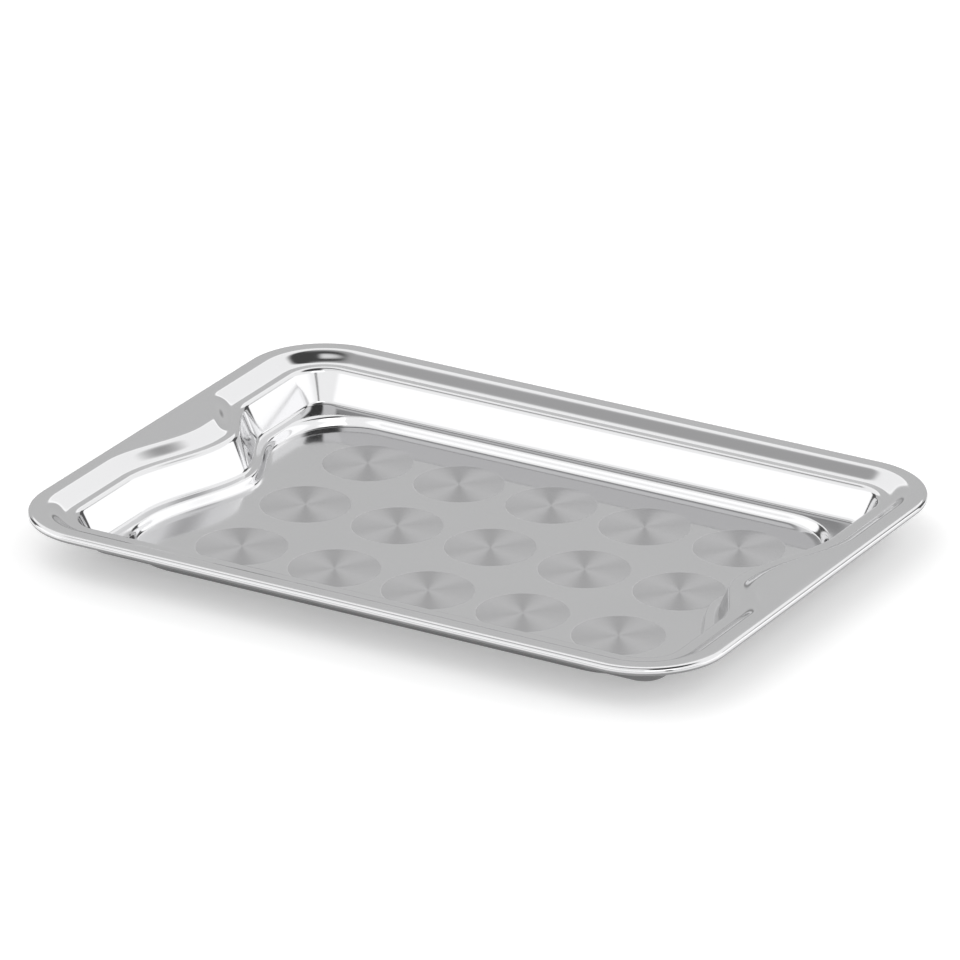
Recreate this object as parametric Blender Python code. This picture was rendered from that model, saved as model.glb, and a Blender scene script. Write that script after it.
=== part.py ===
"""Rectangular steel serving tray: one pressed sheet whose edge is rolled round a wire.

Metres, +Z up. The origin is the centre of the underside, and the tray rests on z = 0.
The long sides run along X. Turned by half a turn about Z, the tray is the same.
"""

import math

import bpy
from mathutils import Vector

# Overall size, over the rolled edge
LENGTH = 0.400
WIDTH = 0.296
HEIGHT = 0.027
CORNER_RADIUS = 0.045
SHEET = 0.0006

# Rolled edge: the sheet turns outward, down and back in round the wire
BEAD_RADIUS = 0.0021
BEAD_TURN = math.radians(300)
BEAD_SEGMENTS = 10
WIRE_RADIUS = 0.0012
WIRE_SEGMENTS = 12
WIRE_END_GAP = 0.001

# Section through a long side: how far in from the outer edge each feature starts
STEP_TOP = 0.0085
STEP_FOOT = 0.0200
WALL_TOP = 0.0255
WALL_FOOT = 0.0340
LEDGE_EDGE = 0.0390
FLOOR_EDGE = 0.0420

# How far each level lies below the flange
STEP_DEPTH = 0.0046
LEDGE_DEPTH = 0.0216
FLOOR_DEPTH = HEIGHT - SHEET

# Bends between the level parts and the wall
WALL_TOP_BEND = 0.0022
WALL_FOOT_BEND = 0.0016
BEND_SEGMENTS = 3
STEP_SEGMENTS = 6
FLOOR_STEP_SEGMENTS = 4
FLOOR_CORNER_RADIUS = 0.037

# Hand-hold at the +X end: the flange widens slowly from GRIP_START and closes at GRIP_END
GRIP_PUSH = 0.018
GRIP_START = 0.055
GRIP_FULL = -0.010
GRIP_TIP = -0.017
GRIP_END = -0.054

# How far these places move apart, for each metre past the top of the step
GRIP_START_SPREAD = 0.24
GRIP_TIP_SPREAD = 0.30
GRIP_END_SPREAD = 0.25

# How far the closely spaced points run past both ends of the hand-hold
GRIP_MARGIN = 0.010
GRIP_SEGMENTS = 26

CORNER_SEGMENTS = 8
SHARP_ANGLE = math.radians(35)


def smooth(t):
    """0 to 1 with level ends."""
    t = min(max(t, 0.0), 1.0)
    return t * t * (3 - 2 * t)


def grip_push(y, inset):
    """How far the hand-hold at the +X end moves a line at this inset inward, at this y."""
    past_step = max(inset - STEP_TOP, 0.0)
    start = GRIP_START + GRIP_START_SPREAD * past_step
    tip = GRIP_TIP + GRIP_TIP_SPREAD * past_step
    end = GRIP_END - GRIP_END_SPREAD * past_step
    widening = smooth((start - y) / (start - GRIP_FULL))
    closing = smooth((y - end) / (tip - end))
    across_flange = smooth((inset - BEAD_RADIUS) / (STEP_TOP - BEAD_RADIUS))
    return GRIP_PUSH * widening * closing * across_flange


def corner_arc(inset, radius, x_side, y_side, start):
    """The points of one rounded corner, from the angle start through a quarter turn."""
    x = x_side * (LENGTH / 2 - inset - radius)
    y = y_side * (WIDTH / 2 - inset - radius)
    angles = [start + math.pi / 2 * i / CORNER_SEGMENTS for i in range(CORNER_SEGMENTS + 1)]
    return [(x + radius * math.cos(a), y + radius * math.sin(a)) for a in angles]


def corner_radius(inset):
    """Corners stay parallel down the wall, and the step to the floor runs round a wider one."""
    return CORNER_RADIUS - inset if inset < LEDGE_EDGE else FLOOR_CORNER_RADIUS


def grip_points(inset):
    """The points along the hand-hold at the +X end, towards +Y."""
    low = GRIP_END - GRIP_MARGIN
    high = GRIP_START + GRIP_MARGIN
    heights = [low + (high - low) * i / GRIP_SEGMENTS for i in range(GRIP_SEGMENTS + 1)]
    return [(LENGTH / 2 - inset - grip_push(y, inset), y) for y in heights]


def outline(inset):
    """A closed loop round the tray, anticlockwise from above, starting at the near right corner."""
    radius = corner_radius(inset)
    half = corner_arc(inset, radius, 1, -1, -math.pi / 2)
    half += grip_points(inset)
    half += corner_arc(inset, radius, 1, 1, 0)
    return half + [(-x, -y) for x, y in half]


def plain_outline(inset):
    """The same loop without the points along the hand-holds, for a line that has none."""
    radius = corner_radius(inset)
    half = corner_arc(inset, radius, 1, -1, -math.pi / 2) + corner_arc(inset, radius, 1, 1, 0)
    return half + [(-x, -y) for x, y in half]


def bead_section():
    """The rolled edge from its free end to the top, as (inset, depth below the flange)."""
    angles = [BEAD_TURN * (1 - i / BEAD_SEGMENTS) for i in range(BEAD_SEGMENTS + 1)]
    return [
        (BEAD_RADIUS * (1 - math.sin(a)), BEAD_RADIUS * (1 - math.cos(a))) for a in angles
    ]


def ramp_section(start, end, segments):
    """A soft step from one level to another, without its first point."""
    shares = [i / segments for i in range(1, segments + 1)]
    return [
        (start[0] + (end[0] - start[0]) * s, start[1] + (end[1] - start[1]) * smooth(s))
        for s in shares
    ]


def bend_section(before, corner, after, reach):
    """A soft bend in place of a sharp corner, starting this far along the run on each side."""
    corner = Vector(corner)
    start = corner + reach * (Vector(before) - corner).normalized()
    end = corner + reach * (Vector(after) - corner).normalized()
    shares = [i / BEND_SEGMENTS for i in range(BEND_SEGMENTS + 1)]
    return [tuple(start.lerp(corner, s).lerp(corner.lerp(end, s), s)) for s in shares]


def sheet_section():
    """The upper face of the sheet, from the free end of the rolled edge to the floor's edge."""
    step_top = (STEP_TOP, 0)
    step_foot = (STEP_FOOT, STEP_DEPTH)
    wall_top = (WALL_TOP, STEP_DEPTH)
    wall_foot = (WALL_FOOT, LEDGE_DEPTH)
    ledge_edge = (LEDGE_EDGE, LEDGE_DEPTH)
    floor_edge = (FLOOR_EDGE, FLOOR_DEPTH)
    section = bead_section() + [step_top]
    section += ramp_section(step_top, step_foot, STEP_SEGMENTS)
    section += bend_section(step_foot, wall_top, wall_foot, WALL_TOP_BEND)
    section += bend_section(wall_top, wall_foot, ledge_edge, WALL_FOOT_BEND)
    section += [ledge_edge]
    section += ramp_section(ledge_edge, floor_edge, FLOOR_STEP_SEGMENTS)
    return section


def loop_faces(count, loops, closed):
    """Quads between neighbouring loops of points."""
    last = count if closed else count - 1
    return [
        (
            k * count + i,
            k * count + (i + 1) % count,
            (k + 1) * count + (i + 1) % count,
            (k + 1) * count + i,
        )
        for k in range(loops - 1)
        for i in range(last)
    ]


def add_object(name, points, faces, material):
    mesh = bpy.data.meshes.new(name)
    mesh.from_pydata(points, [], faces)
    mesh.materials.append(material)
    mesh.shade_smooth()
    mesh.set_sharp_from_angle(angle=SHARP_ANGLE)
    obj = bpy.data.objects.new(name, mesh)
    bpy.context.scene.collection.objects.link(obj)
    return obj


def steel(name, colour, roughness):
    material = bpy.data.materials.new(name)
    material.use_nodes = True
    shader = material.node_tree.nodes["Principled BSDF"]
    shader.inputs["Base Color"].default_value = (*colour, 1)
    shader.inputs["Metallic"].default_value = 1
    shader.inputs["Roughness"].default_value = roughness
    return material


def add_tray_pressing():
    section = sheet_section()
    loops = [[(x, y, HEIGHT - depth) for x, y in outline(inset)] for inset, depth in section]
    count = len(loops[0])
    points = [point for loop in loops for point in loop]
    faces = loop_faces(count, len(loops), closed=True)
    faces.append(tuple(range((len(loops) - 1) * count, len(loops) * count)))
    material = steel("polished_steel", (0.62, 0.62, 0.63), 0.12)
    tray = add_object("tray_pressing", points, faces, material)
    skin = tray.modifiers.new("sheet", "SOLIDIFY")
    skin.thickness = SHEET
    skin.offset = -1
    skin.use_even_offset = True
    skin.use_quality_normals = True


def add_rim_wire():
    """The wire's lines run the length of its loop, and its two ends face each other over a gap."""
    lines = []
    for i in range(WIRE_SEGMENTS):
        angle = 2 * math.pi * i / WIRE_SEGMENTS
        inset = BEAD_RADIUS - WIRE_RADIUS * math.cos(angle)
        z = HEIGHT - BEAD_RADIUS + WIRE_RADIUS * math.sin(angle)
        near = -WIDTH / 2 + inset
        path = [(WIRE_END_GAP / 2, near)] + plain_outline(inset) + [(-WIRE_END_GAP / 2, near)]
        lines.append([(x, y, z) for x, y in path])
    count = len(lines[0])
    points = [point for line in lines for point in line]
    faces = loop_faces(count, WIRE_SEGMENTS, closed=False)
    last = (WIRE_SEGMENTS - 1) * count
    faces += [(last + i, last + i + 1, i + 1, i) for i in range(count - 1)]
    faces.append(tuple(i * count for i in range(WIRE_SEGMENTS)))
    faces.append(tuple(i * count + count - 1 for i in reversed(range(WIRE_SEGMENTS))))
    material = steel("wire_steel", (0.45, 0.45, 0.46), 0.4)
    add_object("rim_wire", points, faces, material)


def clear_scene():
    for obj in list(bpy.data.objects):
        bpy.data.objects.remove(obj)


clear_scene()
add_tray_pressing()
add_rim_wire()
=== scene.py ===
"""Looks of the polished steel serving tray: a fine pressing, its rim wire, steel and studio.

Metres, +Z up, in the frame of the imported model. Turned by half a turn about Z, the tray's
shape is the same.
"""

import math

import bpy
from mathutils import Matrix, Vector


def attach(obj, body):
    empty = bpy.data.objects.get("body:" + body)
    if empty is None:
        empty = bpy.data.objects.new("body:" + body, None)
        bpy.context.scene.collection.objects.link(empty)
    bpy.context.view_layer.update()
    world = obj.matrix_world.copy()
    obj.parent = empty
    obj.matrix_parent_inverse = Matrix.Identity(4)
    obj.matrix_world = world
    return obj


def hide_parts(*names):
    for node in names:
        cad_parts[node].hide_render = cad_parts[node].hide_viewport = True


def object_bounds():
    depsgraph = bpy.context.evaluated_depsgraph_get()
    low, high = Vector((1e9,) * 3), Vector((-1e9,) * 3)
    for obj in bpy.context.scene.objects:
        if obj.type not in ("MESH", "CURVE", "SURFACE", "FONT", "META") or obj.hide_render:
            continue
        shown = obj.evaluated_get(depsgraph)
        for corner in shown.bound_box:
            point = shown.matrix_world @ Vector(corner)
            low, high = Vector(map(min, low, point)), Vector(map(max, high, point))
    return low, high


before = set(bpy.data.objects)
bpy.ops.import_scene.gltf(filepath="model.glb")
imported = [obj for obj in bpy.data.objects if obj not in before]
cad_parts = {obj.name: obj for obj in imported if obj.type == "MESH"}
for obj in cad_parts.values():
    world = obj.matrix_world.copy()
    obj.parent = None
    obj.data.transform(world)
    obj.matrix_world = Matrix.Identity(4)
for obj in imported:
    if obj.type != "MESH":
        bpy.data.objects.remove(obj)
cad_low, cad_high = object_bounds()

# Overall size, over the rolled edge
LENGTH = 0.400
WIDTH = 0.296
HEIGHT = cad_high.z
CORNER_RADIUS = 0.045
SHEET = 0.0006

# Rolled edge and the wire inside it
BEAD_RADIUS = 0.0021
BEAD_TURN = math.radians(300)
BEAD_SEGMENTS = 30
WIRE_RADIUS = 0.0012
WIRE_SEGMENTS = 20
WIRE_END_GAP = 0.001

# Section through a long side: how far in from the outer edge each feature starts
STEP_TOP = 0.0085
STEP_FOOT = 0.0200
WALL_TOP = 0.0255
WALL_FOOT = 0.0340
LEDGE_EDGE = 0.0390
FLOOR_EDGE = 0.0420

# Width of a strip along the floor's edge that keeps the shading of the floor even
FLOOR_MARGIN = 0.0030

# How far each level lies below the flange
STEP_DEPTH = 0.0046
LEDGE_DEPTH = 0.0216
FLOOR_DEPTH = HEIGHT - SHEET

# Bends between the level parts and the wall
WALL_TOP_BEND = 0.0022
WALL_FOOT_BEND = 0.0016
BEND_SEGMENTS = 8
FLANGE_SEGMENTS = 4
STEP_SEGMENTS = 20
LEDGE_SEGMENTS = 3
FLOOR_STEP_SEGMENTS = 12
FLOOR_CORNER_RADIUS = 0.037

# Hand-hold at the +X end: the flange widens slowly from GRIP_START and closes at GRIP_END
GRIP_PUSH = 0.018
GRIP_START = 0.055
GRIP_FULL = -0.010
GRIP_TIP = -0.017
GRIP_END = -0.054

# How far these places move apart, for each metre past the top of the step
GRIP_START_SPREAD = 0.24
GRIP_TIP_SPREAD = 0.30
GRIP_END_SPREAD = 0.25

# How far the closely spaced points run past both ends of the hand-hold
GRIP_MARGIN = 0.010
GRIP_SEGMENTS = 200

CORNER_SEGMENTS = 24

# Engine-turned marks on the floor
MARK_COLUMNS = 5
MARK_ROWS = 3
MARK_PITCH_X = 0.0555
MARK_PITCH_Y = 0.063
MARK_CENTRE = (0.006, 0.0015, 0)
MARK_RADIUS = 0.0245
MARK_SOFT_EDGE = 0.0009

# Steel: each pair is the two ends of a soft variation
PLAIN_TONE = (0.630, 0.650)
MARK_TONE = (0.40, 0.48)
# Darker colour of faces that look down: partly a duller underside, partly painted shade
UNDER_DULL_AND_SHADE_TONE = (0.24, 0.31)
STEEL_BLUE = 1.01
PLAIN_ROUGHNESS = (0.055, 0.095)
MARK_ROUGHNESS = (0.22, 0.30)
UNDER_ROUGHNESS = 0.26
STEEL_ANISOTROPY = 0.95

# Where the duller, shade-darkened underside starts and is full, as the upward part of a face's
# normal
UNDER_START = 0.05
UNDER_FULL = -0.25

# Fineness of each variation, and the depth of the grooves in a mark
SMUDGE_SCALE = 18.0
HAZE_SCALE = 900.0
GROOVE_SCALE = 2600.0
GROOVE_DEPTH = 0.00004
GROOVE_STRENGTH = 0.12

# Wire
WIRE_DARK = (0.36, 0.36, 0.37, 1)
WIRE_LIGHT = (0.48, 0.48, 0.49, 1)
WIRE_ROUGHNESS = (0.32, 0.5)
WIRE_GRAIN_SCALE = 1400.0

# Floor under the tray, a little below it
FLOOR_REACH = 6.0
FLOOR_LEVEL = -0.0002
FLOOR_TONE = 0.85
FLOOR_GLOW = 0.30

# Brightness of each part of the studio
RING_LIGHT = 1.58
UPPER_RING_LIGHT = 1.3
LOW_REAR_LIGHT = 0.95
KEY_LIGHT = 2.3
BACKDROP_LIGHT = 0.69
FRAME_LIGHT = 0.12
HORIZON_LIGHT = 0.3
CEILING_LIGHT = 0.51
ZENITH_LIGHT = 0.10
RIGHT_CEILING_LIGHT = 0.08
REAR_CEILING_LIGHT = 1.1
GAP_LIGHT = 0.2
BACKGROUND_LIGHT = 1.0

# Camera
CAMERA_AZIMUTH = math.radians(30.21)
CAMERA_ELEVATION = math.radians(23.28)
CAMERA_DISTANCE = 4.5
CAMERA_LENS = 329.3
CAMERA_SHIFT = (0.00125, 0.0195)


def smooth(t):
    """0 to 1 with level ends."""
    t = min(max(t, 0.0), 1.0)
    return t * t * (3 - 2 * t)


def grip_push(y, inset):
    """How far the hand-hold at the +X end moves a line at this inset inward, at this y."""
    past_step = max(inset - STEP_TOP, 0.0)
    start = GRIP_START + GRIP_START_SPREAD * past_step
    tip = GRIP_TIP + GRIP_TIP_SPREAD * past_step
    end = GRIP_END - GRIP_END_SPREAD * past_step
    widening = smooth((start - y) / (start - GRIP_FULL))
    closing = smooth((y - end) / (tip - end))
    across_flange = smooth((inset - BEAD_RADIUS) / (STEP_TOP - BEAD_RADIUS))
    return GRIP_PUSH * widening * closing * across_flange


def corner_arc(inset, radius, x_side, y_side, start):
    """The points of one rounded corner, from the angle start through a quarter turn."""
    x = x_side * (LENGTH / 2 - inset - radius)
    y = y_side * (WIDTH / 2 - inset - radius)
    angles = [start + math.pi / 2 * i / CORNER_SEGMENTS for i in range(CORNER_SEGMENTS + 1)]
    return [(x + radius * math.cos(a), y + radius * math.sin(a)) for a in angles]


def corner_radius(inset):
    """Corners stay parallel down the wall, and the step to the floor runs round a wider one."""
    return CORNER_RADIUS - inset if inset < LEDGE_EDGE else FLOOR_CORNER_RADIUS


def grip_points(inset):
    """The points along the hand-hold at the +X end, towards +Y."""
    low = GRIP_END - GRIP_MARGIN
    high = GRIP_START + GRIP_MARGIN
    heights = [low + (high - low) * i / GRIP_SEGMENTS for i in range(GRIP_SEGMENTS + 1)]
    return [(LENGTH / 2 - inset - grip_push(y, inset), y) for y in heights]


def outline(inset):
    """A closed loop round the tray, anticlockwise from above, from the near right corner."""
    radius = corner_radius(inset)
    half = corner_arc(inset, radius, 1, -1, -math.pi / 2)
    half += grip_points(inset)
    half += corner_arc(inset, radius, 1, 1, 0)
    return half + [(-x, -y) for x, y in half]


def plain_outline(inset):
    """The same loop without the points along the hand-holds, for a line that has none."""
    radius = corner_radius(inset)
    half = corner_arc(inset, radius, 1, -1, -math.pi / 2) + corner_arc(inset, radius, 1, 1, 0)
    return half + [(-x, -y) for x, y in half]


def bead_section():
    """The rolled edge from its free end to the top, as (inset, depth below the flange)."""
    angles = [BEAD_TURN * (1 - i / BEAD_SEGMENTS) for i in range(BEAD_SEGMENTS + 1)]
    return [
        (BEAD_RADIUS * (1 - math.sin(a)), BEAD_RADIUS * (1 - math.cos(a))) for a in angles
    ]


def straight_section(start, end, segments):
    """A straight run without its first point."""
    shares = [i / segments for i in range(1, segments + 1)]
    return [tuple(Vector(start).lerp(Vector(end), s)) for s in shares]


def ramp_section(start, end, segments):
    """A soft step from one level to another, without its first point."""
    shares = [i / segments for i in range(1, segments + 1)]
    return [
        (start[0] + (end[0] - start[0]) * s, start[1] + (end[1] - start[1]) * smooth(s))
        for s in shares
    ]


def bend_section(before, corner, after, reach):
    """A soft bend in place of a sharp corner, starting this far along the run on each side."""
    corner = Vector(corner)
    start = corner + reach * (Vector(before) - corner).normalized()
    end = corner + reach * (Vector(after) - corner).normalized()
    shares = [i / BEND_SEGMENTS for i in range(BEND_SEGMENTS + 1)]
    return [tuple(start.lerp(corner, s).lerp(corner.lerp(end, s), s)) for s in shares]


def sheet_section():
    """The upper face of the sheet, from the free end of the rolled edge to the floor's edge."""
    step_top = (STEP_TOP, 0)
    step_foot = (STEP_FOOT, STEP_DEPTH)
    wall_top = (WALL_TOP, STEP_DEPTH)
    wall_foot = (WALL_FOOT, LEDGE_DEPTH)
    ledge_edge = (LEDGE_EDGE, LEDGE_DEPTH)
    floor_edge = (FLOOR_EDGE, FLOOR_DEPTH)
    section = bead_section()
    section += straight_section((BEAD_RADIUS, 0), step_top, FLANGE_SEGMENTS)
    section += ramp_section(step_top, step_foot, STEP_SEGMENTS)
    section += bend_section(step_foot, wall_top, wall_foot, WALL_TOP_BEND)
    section += bend_section(wall_top, wall_foot, ledge_edge, WALL_FOOT_BEND)
    section += straight_section(section[-1], ledge_edge, LEDGE_SEGMENTS)
    section += ramp_section(ledge_edge, floor_edge, FLOOR_STEP_SEGMENTS)
    section.append((FLOOR_EDGE + FLOOR_MARGIN, FLOOR_DEPTH))
    return section


def loop_faces(count, loops, closed):
    """Quads between neighbouring loops of points."""
    last = count if closed else count - 1
    return [
        (
            k * count + i,
            k * count + (i + 1) % count,
            (k + 1) * count + (i + 1) % count,
            (k + 1) * count + i,
        )
        for k in range(loops - 1)
        for i in range(last)
    ]


def add_piece(name, points, faces, material, node):
    mesh = bpy.data.meshes.new(name)
    mesh.from_pydata(points, [], faces)
    mesh.materials.append(material)
    mesh.shade_smooth()
    obj = bpy.data.objects.new(name, mesh)
    bpy.context.scene.collection.objects.link(obj)
    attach(obj, "root")
    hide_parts(node)
    return obj


def add_tray_body(material):
    section = sheet_section()
    loops = [[(x, y, HEIGHT - depth) for x, y in outline(inset)] for inset, depth in section]
    count = len(loops[0])
    points = [point for loop in loops for point in loop]
    faces = loop_faces(count, len(loops), closed=True)
    faces.append(tuple(range((len(loops) - 1) * count, len(loops) * count)))
    tray = add_piece("tray_body", points, faces, material, "tray_pressing")
    skin = tray.modifiers.new("sheet", "SOLIDIFY")
    skin.thickness = SHEET
    skin.offset = -1
    skin.use_even_offset = True
    skin.use_quality_normals = True


def add_wire_loop(material):
    """The wire's lines run the length of its loop, and its two ends face each other over a gap."""
    lines = []
    for i in range(WIRE_SEGMENTS):
        angle = 2 * math.pi * i / WIRE_SEGMENTS
        inset = BEAD_RADIUS - WIRE_RADIUS * math.cos(angle)
        z = HEIGHT - BEAD_RADIUS + WIRE_RADIUS * math.sin(angle)
        near = -WIDTH / 2 + inset
        path = [(WIRE_END_GAP / 2, near)] + plain_outline(inset) + [(-WIRE_END_GAP / 2, near)]
        lines.append([(x, y, z) for x, y in path])
    count = len(lines[0])
    points = [point for line in lines for point in line]
    faces = loop_faces(count, WIRE_SEGMENTS, closed=False)
    last = (WIRE_SEGMENTS - 1) * count
    faces += [(last + i, last + i + 1, i + 1, i) for i in range(count - 1)]
    faces.append(tuple(i * count for i in range(WIRE_SEGMENTS)))
    faces.append(tuple(i * count + count - 1 for i in reversed(range(WIRE_SEGMENTS))))
    add_piece("wire_loop", points, faces, material, "rim_wire")


class Nodes:
    """A short way to add and join shader nodes."""

    def __init__(self, owner):
        owner.use_nodes = True
        self.tree = owner.node_tree
        self.tree.nodes.clear()

    def add(self, kind, **settings):
        node = self.tree.nodes.new(kind)
        for name, value in settings.items():
            setattr(node, name, value)
        return node

    def join(self, source, target):
        self.tree.links.new(source, target)

    def feed(self, socket, value):
        """Sets a socket to a number or a vector, or links another socket to it."""
        if isinstance(value, bpy.types.NodeSocket):
            self.join(value, socket)
        else:
            socket.default_value = value

    def math(self, operation, *values):
        node = self.add("ShaderNodeMath", operation=operation)
        for socket, value in zip(node.inputs, values):
            self.feed(socket, value)
        return node.outputs[0]

    def vector(self, operation, *values, output=0):
        node = self.add("ShaderNodeVectorMath", operation=operation)
        sockets = [socket for socket in node.inputs if socket.enabled]
        for socket, value in zip(sockets, values):
            self.feed(socket, value)
        return node.outputs[output]

    def ramp(self, value, low, high):
        """A soft change from 0 to 1 as the value goes from low to high."""
        node = self.add("ShaderNodeMapRange", interpolation_type="SMOOTHSTEP")
        self.feed(node.inputs["Value"], value)
        self.feed(node.inputs["From Min"], low)
        self.feed(node.inputs["From Max"], high)
        return node.outputs[0]

    def noise(self, where, scale, detail, roughness):
        node = self.add("ShaderNodeTexNoise")
        self.feed(node.inputs["Vector"], where)
        self.feed(node.inputs["Scale"], scale)
        self.feed(node.inputs["Detail"], detail)
        self.feed(node.inputs["Roughness"], roughness)
        return node.outputs[0]

    def mix(self, share, a, b):
        """a where the share is 0, b where it is 1."""
        return self.math("ADD", a, self.math("MULTIPLY", share, self.math("SUBTRACT", b, a)))

    def colour(self, share, a, b):
        node = self.add("ShaderNodeMix", data_type="RGBA")
        self.feed(node.inputs["Factor"], share)
        self.feed(node.inputs["A"], a)
        self.feed(node.inputs["B"], b)
        return node.outputs["Result"]


def nearest_mark(nodes, place):
    """Offsets along X and Y from the nearest mark's centre, and 1 where the floor has marks."""
    split = nodes.add("ShaderNodeSeparateXYZ")
    nodes.join(nodes.vector("SUBTRACT", place, MARK_CENTRE), split.inputs[0])
    x, y, z = split.outputs
    dx = nodes.math("WRAP", x, MARK_PITCH_X / 2, -MARK_PITCH_X / 2)
    dy = nodes.math("WRAP", y, MARK_PITCH_Y / 2, -MARK_PITCH_Y / 2)
    in_grid = nodes.math(
        "MULTIPLY",
        nodes.math("LESS_THAN", nodes.math("ABSOLUTE", x), MARK_PITCH_X * MARK_COLUMNS / 2),
        nodes.math("LESS_THAN", nodes.math("ABSOLUTE", y), MARK_PITCH_Y * MARK_ROWS / 2),
    )
    on_floor = nodes.math(
        "MULTIPLY",
        nodes.math("LESS_THAN", z, SHEET * 1.5),
        nodes.math("GREATER_THAN", z, SHEET * 0.5),
    )
    return dx, dy, nodes.math("MULTIPLY", in_grid, on_floor)


def distance(nodes, dx, dy):
    across = nodes.math("MULTIPLY", dx, dx)
    along = nodes.math("MULTIPLY", dy, dy)
    return nodes.math("SQRT", nodes.math("ADD", across, along))


def turned_tangent(nodes, dx, dy, mark):
    """Polishing lines that run round each mark, and along X elsewhere."""
    circle = nodes.add("ShaderNodeCombineXYZ")
    nodes.join(nodes.math("MULTIPLY", dy, -1.0), circle.inputs[0])
    nodes.join(dx, circle.inputs[1])
    round_about = nodes.vector("SCALE", nodes.vector("NORMALIZE", circle.outputs[0]), mark)
    along = nodes.add("ShaderNodeCombineXYZ")
    nodes.join(nodes.math("SUBTRACT", 1.0, mark), along.inputs[0])
    return nodes.vector("ADD", round_about, along.outputs[0])


def underside(nodes):
    """0 on faces that look up or sideways, 1 on faces that look down, where the steel is duller and
    painted shade darkens its colour.
    """
    normal = nodes.add("ShaderNodeSeparateXYZ")
    nodes.join(nodes.add("ShaderNodeTexCoord").outputs["Normal"], normal.inputs[0])
    return nodes.ramp(normal.outputs[2], UNDER_START, UNDER_FULL)


def ring_grooves(nodes, radius):
    """A fine variation from the middle of a mark outward, the same all the way round."""
    rings = nodes.add("ShaderNodeCombineXYZ")
    nodes.join(radius, rings.inputs[0])
    return nodes.noise(rings.outputs[0], GROOVE_SCALE, detail=3.0, roughness=0.7)


def steel_colour(nodes, tone):
    colour = nodes.add("ShaderNodeCombineColor")
    nodes.join(tone, colour.inputs[0])
    nodes.join(tone, colour.inputs[1])
    nodes.join(nodes.math("MULTIPLY", tone, STEEL_BLUE), colour.inputs[2])
    return colour.outputs[0]


def groove_bump(nodes, height):
    bump = nodes.add("ShaderNodeBump")
    bump.inputs["Strength"].default_value = GROOVE_STRENGTH
    bump.inputs["Distance"].default_value = GROOVE_DEPTH
    nodes.join(height, bump.inputs["Height"])
    return bump.outputs[0]


def metal_shader(nodes):
    output = nodes.add("ShaderNodeOutputMaterial")
    shader = nodes.add("ShaderNodeBsdfPrincipled")
    shader.inputs["Metallic"].default_value = 1
    nodes.join(shader.outputs[0], output.inputs[0])
    return shader


def steel_material():
    """Polished steel, with round engine-turned marks on the floor, and a duller underside whose
    darker colour is partly painted shade.
    """
    material = bpy.data.materials.new("polished_steel_fine")
    nodes = Nodes(material)
    shader = metal_shader(nodes)
    shader.inputs["Anisotropic"].default_value = STEEL_ANISOTROPY

    place = nodes.add("ShaderNodeTexCoord").outputs["Object"]
    dx, dy, marked_area = nearest_mark(nodes, place)
    radius = distance(nodes, dx, dy)
    disc = nodes.ramp(radius, MARK_RADIUS, MARK_RADIUS - MARK_SOFT_EDGE)
    mark = nodes.math("MULTIPLY", disc, marked_area)
    under = underside(nodes)

    groove = ring_grooves(nodes, radius)
    smudge = nodes.noise(place, SMUDGE_SCALE, detail=4.0, roughness=0.6)
    haze = nodes.noise(place, HAZE_SCALE, detail=2.0, roughness=0.5)

    plain = nodes.mix(smudge, *PLAIN_ROUGHNESS)
    turned = nodes.mix(groove, *MARK_ROUGHNESS)
    upper = nodes.mix(mark, plain, turned)
    nodes.join(nodes.mix(under, upper, UNDER_ROUGHNESS), shader.inputs["Roughness"])

    tone = nodes.mix(mark, nodes.mix(haze, *PLAIN_TONE), nodes.mix(groove, *MARK_TONE))
    # Painted shade: faces that look down, such as the bead's lower half and the outer wall, get a
    # darker colour on top of their duller finish
    tone = nodes.mix(under, tone, nodes.mix(smudge, *UNDER_DULL_AND_SHADE_TONE))
    nodes.join(steel_colour(nodes, tone), shader.inputs["Base Color"])

    nodes.join(turned_tangent(nodes, dx, dy, mark), shader.inputs["Tangent"])
    nodes.join(groove_bump(nodes, nodes.math("MULTIPLY", mark, groove)), shader.inputs["Normal"])
    return material


def wire_material():
    """Dull drawn wire, with a fine grain."""
    material = bpy.data.materials.new("wire_steel_fine")
    nodes = Nodes(material)
    shader = metal_shader(nodes)
    place = nodes.add("ShaderNodeTexCoord").outputs["Object"]
    grain = nodes.noise(place, WIRE_GRAIN_SCALE, detail=3.0, roughness=0.6)
    nodes.join(nodes.mix(grain, *WIRE_ROUGHNESS), shader.inputs["Roughness"])
    nodes.join(nodes.colour(grain, WIRE_DARK, WIRE_LIGHT), shader.inputs["Base Color"])
    return material


def floor_material():
    """Pale and dull, softly lit from within, and clear from below so that the underside shows."""
    material = bpy.data.materials.new("floor_white")
    material.use_nodes = True
    tree = material.node_tree
    shader = tree.nodes["Principled BSDF"]
    shader.inputs["Base Color"].default_value = (FLOOR_TONE, FLOOR_TONE, FLOOR_TONE, 1)
    shader.inputs["Roughness"].default_value = 0.9
    shader.inputs["Specular IOR Level"].default_value = 0.1
    shader.inputs["Emission Color"].default_value = (1, 1, 1, 1)
    shader.inputs["Emission Strength"].default_value = FLOOR_GLOW
    from_below = tree.nodes.new("ShaderNodeNewGeometry").outputs["Backfacing"]
    clear = tree.nodes.new("ShaderNodeBsdfTransparent")
    blend = tree.nodes.new("ShaderNodeMixShader")
    tree.links.new(from_below, blend.inputs[0])
    tree.links.new(shader.outputs[0], blend.inputs[1])
    tree.links.new(clear.outputs[0], blend.inputs[2])
    tree.links.new(blend.outputs[0], tree.nodes["Material Output"].inputs[0])
    return material


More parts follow.
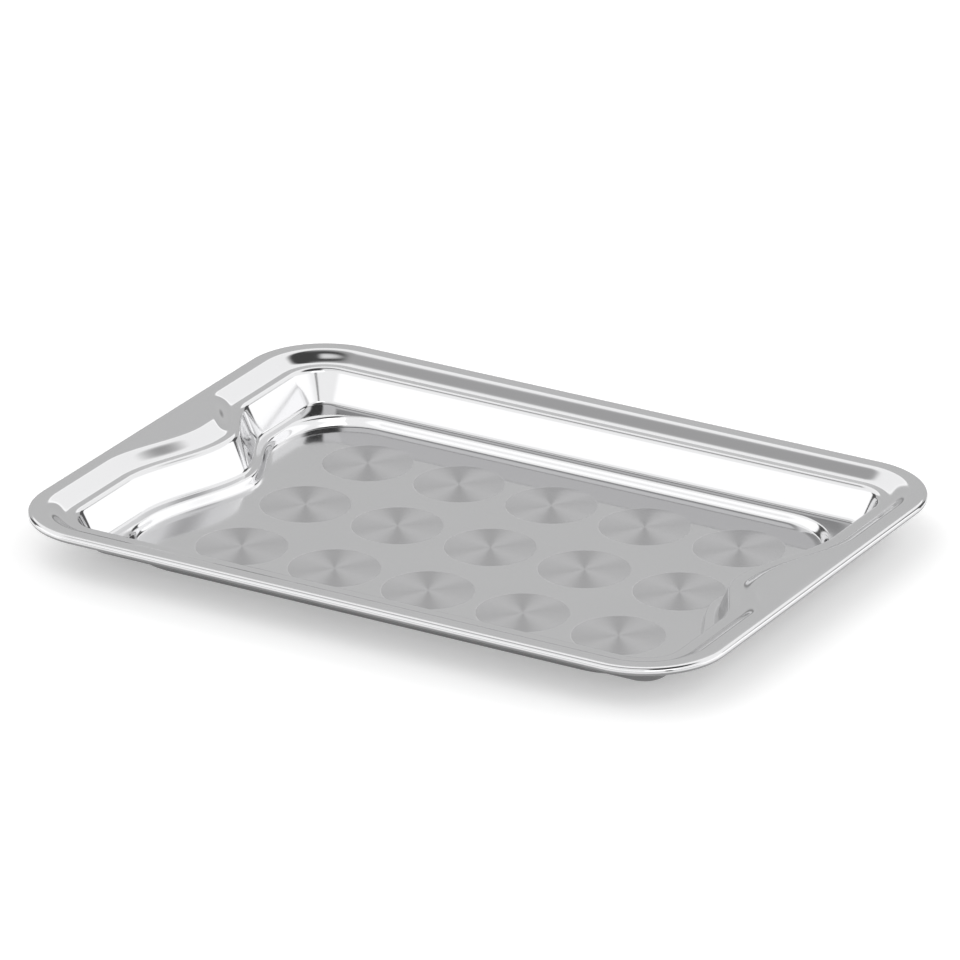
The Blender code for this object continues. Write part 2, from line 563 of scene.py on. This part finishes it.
def add_floor():
    """A wide pale floor, far larger than the view."""
    sides = ((-1, -1), (1, -1), (1, 1), (-1, 1))
    corners = [(x * FLOOR_REACH, y * FLOOR_REACH, FLOOR_LEVEL) for x, y in sides]
    mesh = bpy.data.meshes.new("floor")
    mesh.from_pydata(corners, [], [(0, 1, 2, 3)])
    mesh.materials.append(floor_material())
    floor = bpy.data.objects.new("floor", mesh)
    bpy.context.scene.collection.objects.link(floor)


def studio_direction(nodes):
    """How far each direction points straight ahead, to the right and up, from -1 to 1."""
    direction = nodes.add("ShaderNodeTexCoord").outputs["Generated"]
    ahead = (-math.sin(CAMERA_AZIMUTH), math.cos(CAMERA_AZIMUTH), 0)
    right = (math.cos(CAMERA_AZIMUTH), math.sin(CAMERA_AZIMUTH), 0)
    return [
        nodes.vector("DOT_PRODUCT", direction, axis, output=1) for axis in (ahead, right, (0, 0, 1))
    ]


def by_height(nodes, up, none, full):
    """0 at the elevation none and 1 at the elevation full, both in degrees."""
    return nodes.ramp(up, math.sin(math.radians(none)), math.sin(math.radians(full)))


def near_azimuth(nodes, azimuth, centre, none, full):
    """1 within full degrees of the centre, falling to 0 at none degrees from it."""
    away = nodes.math("ABSOLUTE", nodes.math("SUBTRACT", azimuth, math.radians(centre)))
    return nodes.ramp(away, math.radians(none), math.radians(full))


def ceiling_light(nodes, forward, sideways, up):
    """Grey ahead, darker overhead and to the right, bright behind on the left."""
    light = nodes.mix(by_height(nodes, up, none=64, full=74), CEILING_LIGHT, ZENITH_LIGHT)
    light = nodes.mix(nodes.ramp(sideways, -0.05, 0.2), light, RIGHT_CEILING_LIGHT)
    behind = nodes.math(
        "MULTIPLY", nodes.ramp(forward, 0.20, 0.10), nodes.ramp(sideways, 0.10, 0.0)
    )
    return nodes.mix(behind, light, REAR_CEILING_LIGHT)


def panel(nodes, across, height):
    """1 where both shares are 1, softly falling to 0."""
    return nodes.math("MULTIPLY", across, height)


def horizon_panel(nodes, azimuth, up):
    """A band straight ahead, from just below eye level to just above it."""
    heights = panel(
        nodes, by_height(nodes, up, none=7, full=4), by_height(nodes, up, none=-8, full=-4)
    )
    return panel(nodes, near_azimuth(nodes, azimuth, centre=0, none=35, full=25), heights)


def studio_light(nodes):
    """A ring of white light, broken by a grey backdrop, dark frames and a grey ceiling."""
    forward, sideways, up = studio_direction(nodes)
    azimuth = nodes.math("ARCTAN2", sideways, forward)
    to_either_side = nodes.math("ABSOLUTE", azimuth)
    low_rear = panel(
        nodes,
        near_azimuth(nodes, to_either_side, centre=180, none=78, full=65),
        by_height(nodes, up, none=20, full=16),
    )
    key = panel(
        nodes,
        near_azimuth(nodes, azimuth, centre=180, none=55, full=40),
        by_height(nodes, up, none=36, full=40),
    )
    backdrop = panel(
        nodes,
        near_azimuth(nodes, azimuth, centre=0, none=58, full=46),
        by_height(nodes, up, none=28, full=26),
    )
    frames = panel(
        nodes,
        near_azimuth(nodes, to_either_side, centre=50, none=12, full=8),
        by_height(nodes, up, none=30, full=28),
    )
    gap = panel(
        nodes,
        near_azimuth(nodes, azimuth, centre=150, none=6, full=3),
        by_height(nodes, up, none=36, full=31),
    )
    overhead = by_height(nodes, up, none=53, full=61)
    seen = nodes.add("ShaderNodeLightPath").outputs["Is Camera Ray"]
    light = nodes.mix(by_height(nodes, up, none=27, full=31), RING_LIGHT, UPPER_RING_LIGHT)
    for share, other in (
        (low_rear, LOW_REAR_LIGHT),
        (key, KEY_LIGHT),
        (backdrop, BACKDROP_LIGHT),
        (frames, FRAME_LIGHT),
        (horizon_panel(nodes, azimuth, up), HORIZON_LIGHT),
        (overhead, ceiling_light(nodes, forward, sideways, up)),
        (gap, GAP_LIGHT),
        (seen, BACKGROUND_LIGHT),
    ):
        light = nodes.mix(share, light, other)
    return light


def add_studio():
    world = bpy.data.worlds.new("studio")
    bpy.context.scene.world = world
    nodes = Nodes(world)
    output = nodes.add("ShaderNodeOutputWorld")
    background = nodes.add("ShaderNodeBackground")
    nodes.join(background.outputs[0], output.inputs[0])
    light = studio_light(nodes)
    colour = nodes.add("ShaderNodeCombineColor")
    for socket in colour.inputs:
        nodes.join(light, socket)
    nodes.join(colour.outputs[0], background.inputs["Color"])


def add_camera():
    data = bpy.data.cameras.new("camera")
    camera = bpy.data.objects.new("camera", data)
    bpy.context.scene.collection.objects.link(camera)
    back = Vector(
        (
            math.sin(CAMERA_AZIMUTH) * math.cos(CAMERA_ELEVATION),
            -math.cos(CAMERA_AZIMUTH) * math.cos(CAMERA_ELEVATION),
            math.sin(CAMERA_ELEVATION),
        )
    )
    camera.location = Vector((0, 0, HEIGHT)) + CAMERA_DISTANCE * back
    camera.rotation_mode = "QUATERNION"
    camera.rotation_quaternion = (-back).to_track_quat("-Z", "Y")
    data.lens = CAMERA_LENS
    data.shift_x, data.shift_y = CAMERA_SHIFT
    data.clip_start = 0.1
    data.clip_end = 100
    bpy.context.scene.camera = camera


add_tray_body(steel_material())
add_wire_loop(wire_material())
add_floor()
add_studio()
add_camera()
bpy.context.scene.view_settings.view_transform = "Standard"
